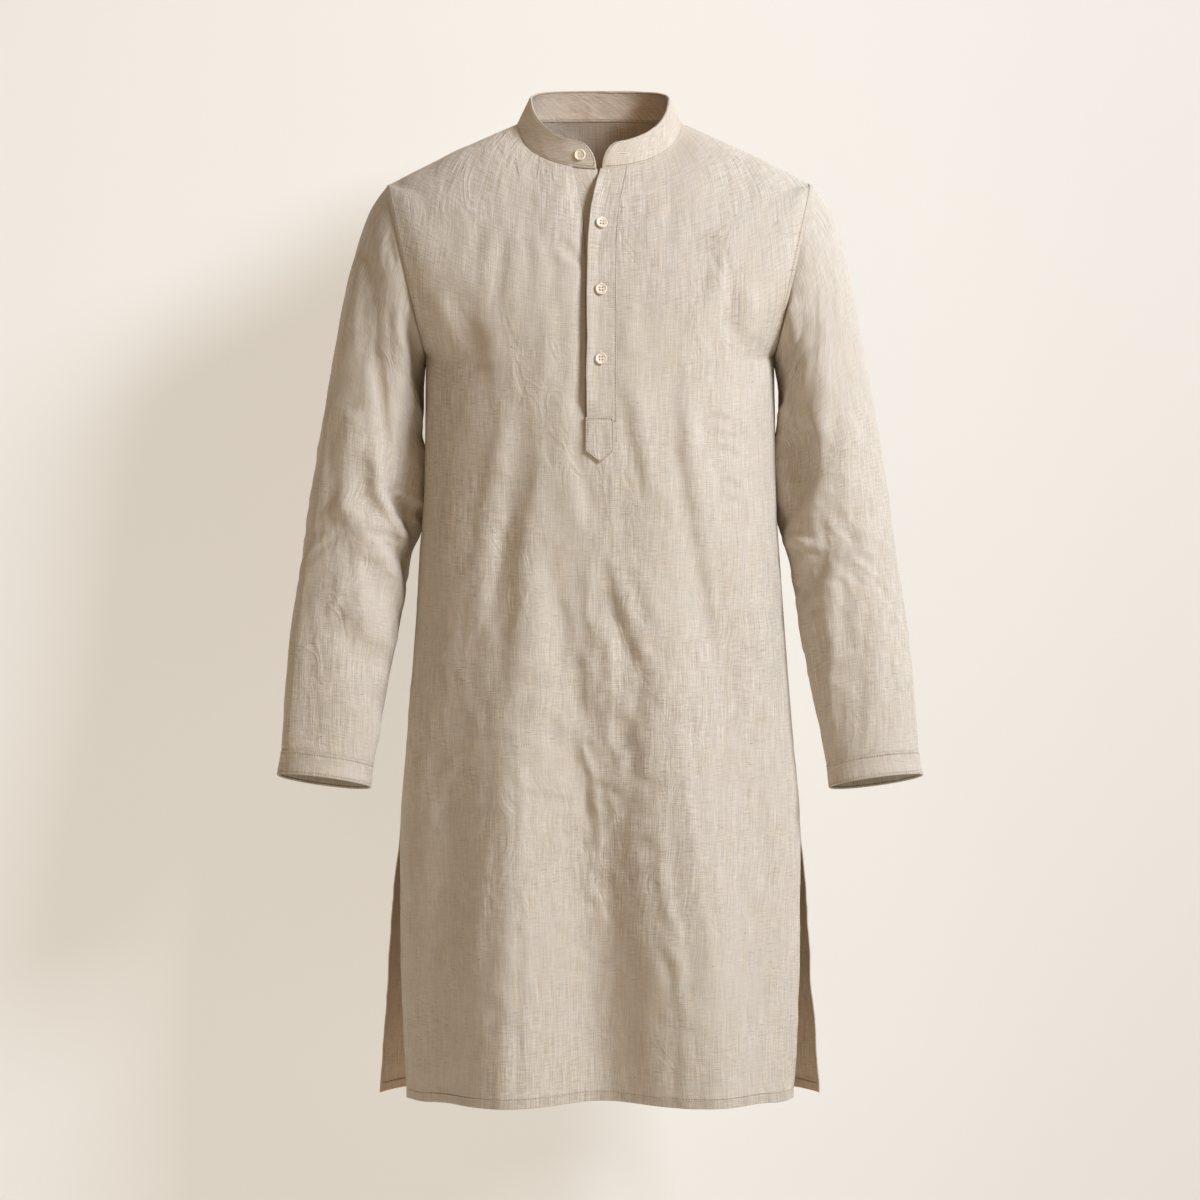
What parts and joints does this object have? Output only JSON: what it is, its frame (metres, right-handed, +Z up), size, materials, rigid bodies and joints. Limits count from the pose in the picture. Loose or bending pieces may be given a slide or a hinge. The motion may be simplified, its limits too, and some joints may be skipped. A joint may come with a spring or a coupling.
{
  "type": "kurta",
  "caption": "Long-sleeved knee-length tunic in its worn shape, with a stand collar, a half-length button placket and side slits.",
  "frame": {"origin": "centre of the neck base, level with the two high shoulder points, where the wearer's neck and shoulders carry the garment", "axes": "+Z up, towards the collar; the wearer faces -Y; +X is the wearer's left side"},
  "size_m": [0.6906, 0.261, 1.0926],
  "materials": {
    "linen": "natural undyed linen, plain weave with slubs, matt",
    "button_shell": "cream button, satin"
  },
  "bodies": {
    "root": {"front_panel": "linen", "back_panel": "linen", "sleeve_left": "linen", "sleeve_right": "linen", "cuff_left": "linen", "cuff_right": "linen", "collar_band": "linen", "placket_over": "linen", "placket_under": "linen", "placket_tail": "linen", "button_1": "button_shell", "button_2": "button_shell", "button_3": "button_shell", "button_collar": "button_shell"}
  },
  "joints": []
}
